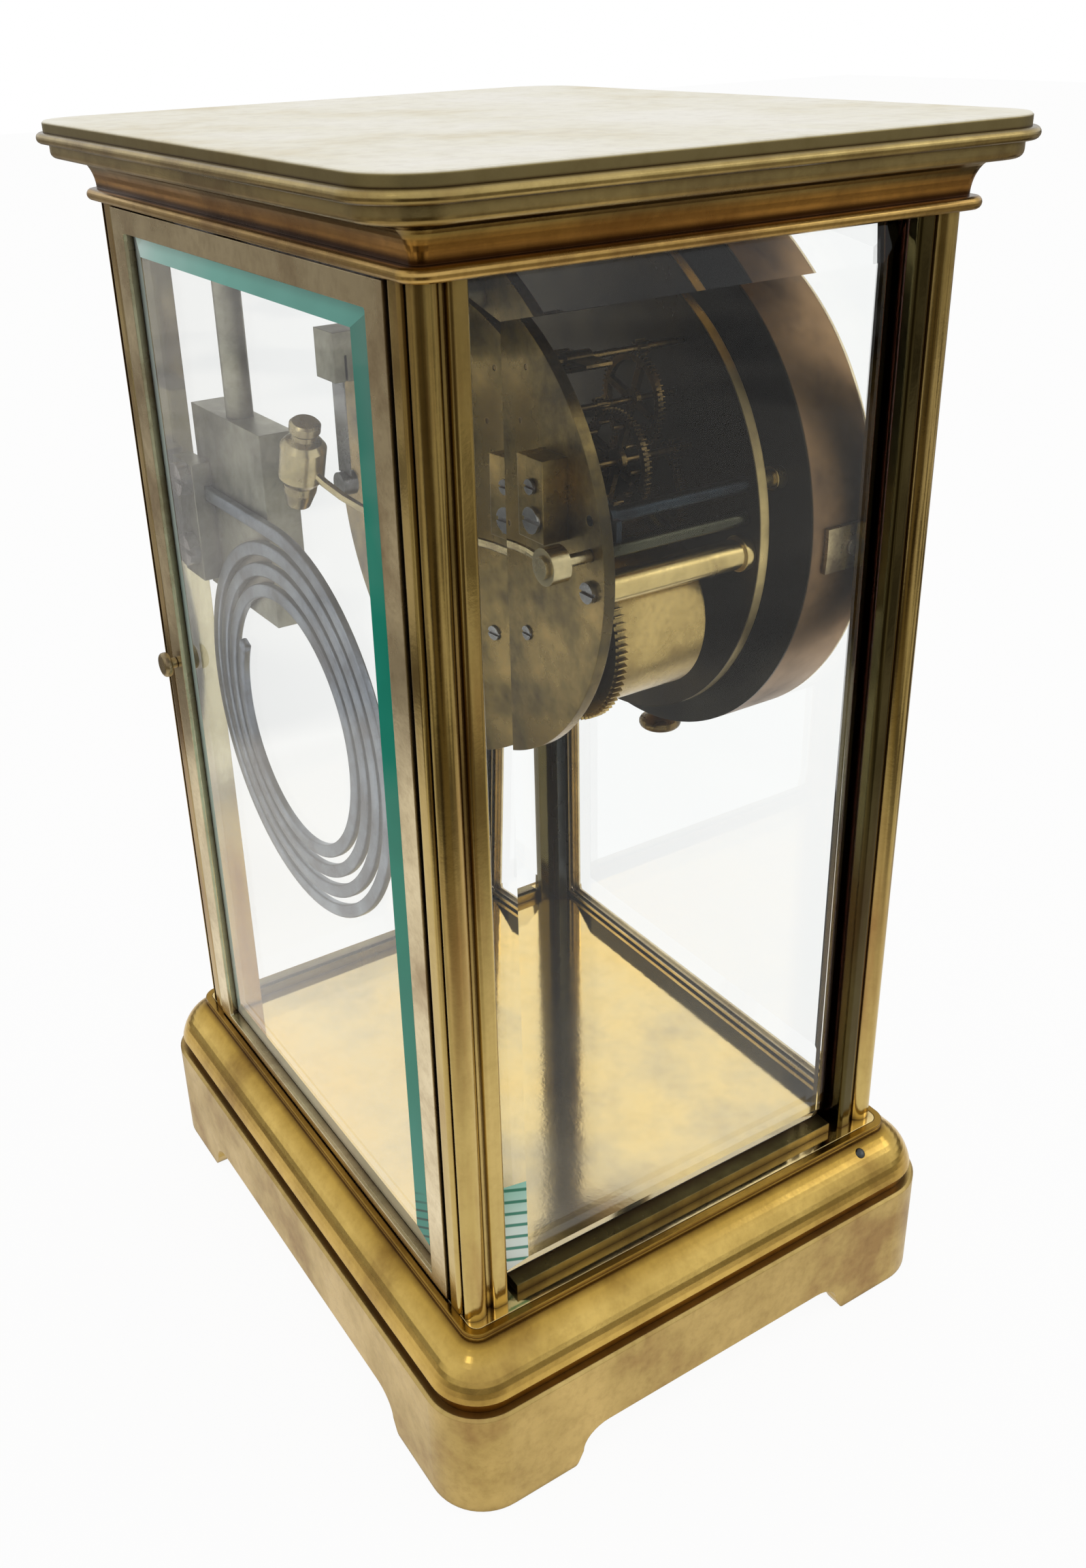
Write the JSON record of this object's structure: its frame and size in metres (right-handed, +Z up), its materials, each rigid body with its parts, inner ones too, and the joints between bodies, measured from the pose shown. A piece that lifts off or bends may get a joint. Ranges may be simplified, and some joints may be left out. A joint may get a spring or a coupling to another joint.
{
  "type": "crystal regulator clock",
  "caption": "Brass four-glass mantel clock with bevelled glass doors and sides, a round striking movement, a hammer and a flat spiral gong.",
  "frame": {"origin": "centre of the base at the underside of the feet", "axes": "+Z up, front of the clock (dial) towards -Y, rear door towards +Y, +X to the right seen from the front"},
  "size_m": [0.1624, 0.1364, 0.268],
  "materials": {
    "case_brass": "polished, aged",
    "movement_brass": "satin, aged",
    "drum_brass": "satin, tarnished",
    "steel": "satin",
    "blued_steel": "blued",
    "glass": "polished",
    "enamel": "glossy"
  },
  "bodies": {
    "case": {"base_plinth": "case_brass", "base_moulding": "case_brass", "floor_plate": "case_brass", "cornice": "case_brass", "top_plate": "case_brass", "post_rear_left": "case_brass", "post_rear_right": "case_brass", "post_front_left": "case_brass", "post_front_right": "case_brass", "side_rails": "case_brass", "side_glass_left": "glass", "side_glass_right": "glass", "door_pins": "steel", "strap_left": "movement_brass", "strap_right": "movement_brass", "drum_lugs": "movement_brass", "movement_screws": "steel", "drum": "drum_brass", "drum_pillars": "movement_brass", "thumb_knob": "movement_brass", "dial": "enamel", "bezel": "movement_brass", "front_plate": "movement_brass", "back_plate": "movement_brass", "plate_pillars": "movement_brass", "suspension_cock": "movement_brass", "suspension_spring": "steel", "hammer_spring_block": "movement_brass", "gong_rod": "movement_brass", "gong_block": "movement_brass", "gong_clamp": "movement_brass", "gong_screws": "steel", "gong_coil": "blued_steel"},
    "rear_door": {"rear_door_frame": "case_brass", "rear_door_glass": "glass"},
    "rear_knob": {"rear_door_knob": "case_brass"},
    "front_door": {"front_door_frame": "case_brass", "front_door_glass": "glass"},
    "front_knob": {"front_door_knob": "case_brass"},
    "going_barrel": {"going_barrel": "movement_brass"},
    "going_winding_arbor": {"going_winding_arbor": "steel"},
    "going_click": {"going_click": "steel"},
    "going_second_wheel": {"going_second_wheel": "movement_brass"},
    "centre_arbor": {"centre_wheel": "movement_brass", "minute_hand": "blued_steel"},
    "third_wheel": {"third_wheel": "movement_brass"},
    "escape_wheel": {"escape_wheel": "movement_brass"},
    "pallet_anchor": {"pallet_anchor": "steel"},
    "minute_wheel": {"minute_wheel": "movement_brass"},
    "hour_pipe": {"hour_wheel": "movement_brass", "hour_hand": "blued_steel"},
    "strike_barrel": {"strike_barrel": "movement_brass"},
    "strike_winding_arbor": {"strike_winding_arbor": "steel"},
    "strike_click": {"strike_click": "steel"},
    "strike_second_wheel": {"strike_second_wheel": "movement_brass"},
    "pin_wheel": {"pin_wheel": "movement_brass"},
    "warning_wheel": {"warning_wheel": "movement_brass"},
    "fly": {"fly": "movement_brass"},
    "lifting_lever": {"lifting_lever": "blued_steel"},
    "hammer": {"hammer": "movement_brass"}
  },
  "joints": [
    {"name": "rear_door_hinge", "type": "hinge", "parent": "case", "child": "rear_door", "pos_m": [-0.0587, 0.0562, 0.147], "axis": [0, 0, 1], "range_deg": [0, 100]},
    {"name": "rear_knob_turn", "type": "hinge", "parent": "rear_door", "child": "rear_knob", "pos_m": [0.0582, 0.0554, 0.1475], "axis": [0, -1, 0], "range_deg": [0, 90]},
    {"name": "front_door_hinge", "type": "hinge", "parent": "case", "child": "front_door", "pos_m": [-0.0587, -0.0562, 0.147], "axis": [0, 0, -1], "range_deg": [0, 100]},
    {"name": "front_knob_turn", "type": "hinge", "parent": "front_door", "child": "front_knob", "pos_m": [0.0582, -0.0554, 0.1475], "axis": [0, -1, 0], "range_deg": [0, 90]},
    {"name": "centre_turn", "type": "hinge", "parent": "case", "child": "centre_arbor", "pos_m": [0, 0, 0.19], "axis": [0, 1, 0], "continuous": true},
    {"name": "going_barrel_turn", "type": "hinge", "parent": "case", "child": "going_barrel", "pos_m": [0.0245, 0, 0.172], "axis": [0, 1, 0], "continuous": true},
    {"name": "going_second_turn", "type": "hinge", "parent": "case", "child": "going_second_wheel", "pos_m": [0.00195, 0, 0.17251], "axis": [0, 1, 0], "continuous": true},
    {"name": "third_turn", "type": "hinge", "parent": "case", "child": "third_wheel", "pos_m": [0.0088, 0, 0.20412], "axis": [0, 1, 0], "continuous": true},
    {"name": "escape_turn", "type": "hinge", "parent": "case", "child": "escape_wheel", "pos_m": [0, 0, 0.217], "axis": [0, 1, 0], "continuous": true},
    {"name": "minute_wheel_turn", "type": "hinge", "parent": "case", "child": "minute_wheel", "pos_m": [0, 0, 0.178], "axis": [0, 1, 0], "continuous": true},
    {"name": "hour_turn", "type": "hinge", "parent": "case", "child": "hour_pipe", "pos_m": [0, 0, 0.19], "axis": [0, 1, 0], "continuous": true},
    {"name": "going_winding", "type": "hinge", "parent": "case", "child": "going_winding_arbor", "pos_m": [0.0245, 0, 0.172], "axis": [0, 1, 0], "continuous": true},
    {"name": "going_click_lift", "type": "hinge", "parent": "case", "child": "going_click", "pos_m": [0.0317, 0, 0.16342], "axis": [0, 1, 0], "range_deg": [0, 15], "stiffness_Nm_per_rad": 0.002},
    {"name": "anchor_swing", "type": "hinge", "parent": "case", "child": "pallet_anchor", "pos_m": [0, 0, 0.23], "axis": [0, 1, 0], "range_deg": [-4, 4]},
    {"name": "pin_wheel_turn", "type": "hinge", "parent": "case", "child": "pin_wheel", "pos_m": [-0.02929, 0, 0.20554], "axis": [0, 1, 0], "continuous": true},
    {"name": "strike_barrel_turn", "type": "hinge", "parent": "case", "child": "strike_barrel", "pos_m": [-0.0245, 0, 0.172], "axis": [0, 1, 0], "continuous": true},
    {"name": "strike_second_turn", "type": "hinge", "parent": "case", "child": "strike_second_wheel", "pos_m": [-0.01866, 0, 0.19379], "axis": [0, 1, 0], "continuous": true},
    {"name": "warning_turn", "type": "hinge", "parent": "case", "child": "warning_wheel", "pos_m": [-0.0236, 0, 0.2156], "axis": [0, 1, 0], "continuous": true},
    {"name": "fly_turn", "type": "hinge", "parent": "case", "child": "fly", "pos_m": [-0.02605, 0, 0.2262], "axis": [0, 1, 0], "continuous": true},
    {"name": "strike_winding", "type": "hinge", "parent": "case", "child": "strike_winding_arbor", "pos_m": [-0.0245, 0, 0.172], "axis": [0, 1, 0], "continuous": true},
    {"name": "strike_click_lift", "type": "hinge", "parent": "case", "child": "strike_click", "pos_m": [-0.0317, 0, 0.16342], "axis": [0, -1, 0], "range_deg": [0, 15], "stiffness_Nm_per_rad": 0.002},
    {"name": "lifting_lever_swing", "type": "hinge", "parent": "case", "child": "lifting_lever", "pos_m": [-0.0464, 0, 0.2015], "axis": [0, 1, 0], "range_deg": [-5, 5], "stiffness_Nm_per_rad": 0.01},
    {"name": "hammer_swing", "type": "hinge", "parent": "case", "child": "hammer", "pos_m": [-0.0465, 0, 0.1948], "axis": [0, 1, 0], "range_deg": [-10, 8], "stiffness_Nm_per_rad": 0.05}
  ],
  "couplings": [
    {"joint": "going_second_turn", "follows": "centre_turn", "ratio": -0.12821},
    {"joint": "going_barrel_turn", "follows": "centre_turn", "ratio": 0.015263},
    {"joint": "third_turn", "follows": "centre_turn", "ratio": -12},
    {"joint": "escape_turn", "follows": "centre_turn", "ratio": 144},
    {"joint": "minute_wheel_turn", "follows": "centre_turn", "ratio": -0.33333},
    {"joint": "hour_turn", "follows": "centre_turn", "ratio": 0.083333},
    {"joint": "strike_second_turn", "follows": "pin_wheel_turn", "ratio": -0.12821},
    {"joint": "strike_barrel_turn", "follows": "pin_wheel_turn", "ratio": 0.015263},
    {"joint": "warning_turn", "follows": "pin_wheel_turn", "ratio": -7.5},
    {"joint": "fly_turn", "follows": "pin_wheel_turn", "ratio": 52.5}
  ]
}
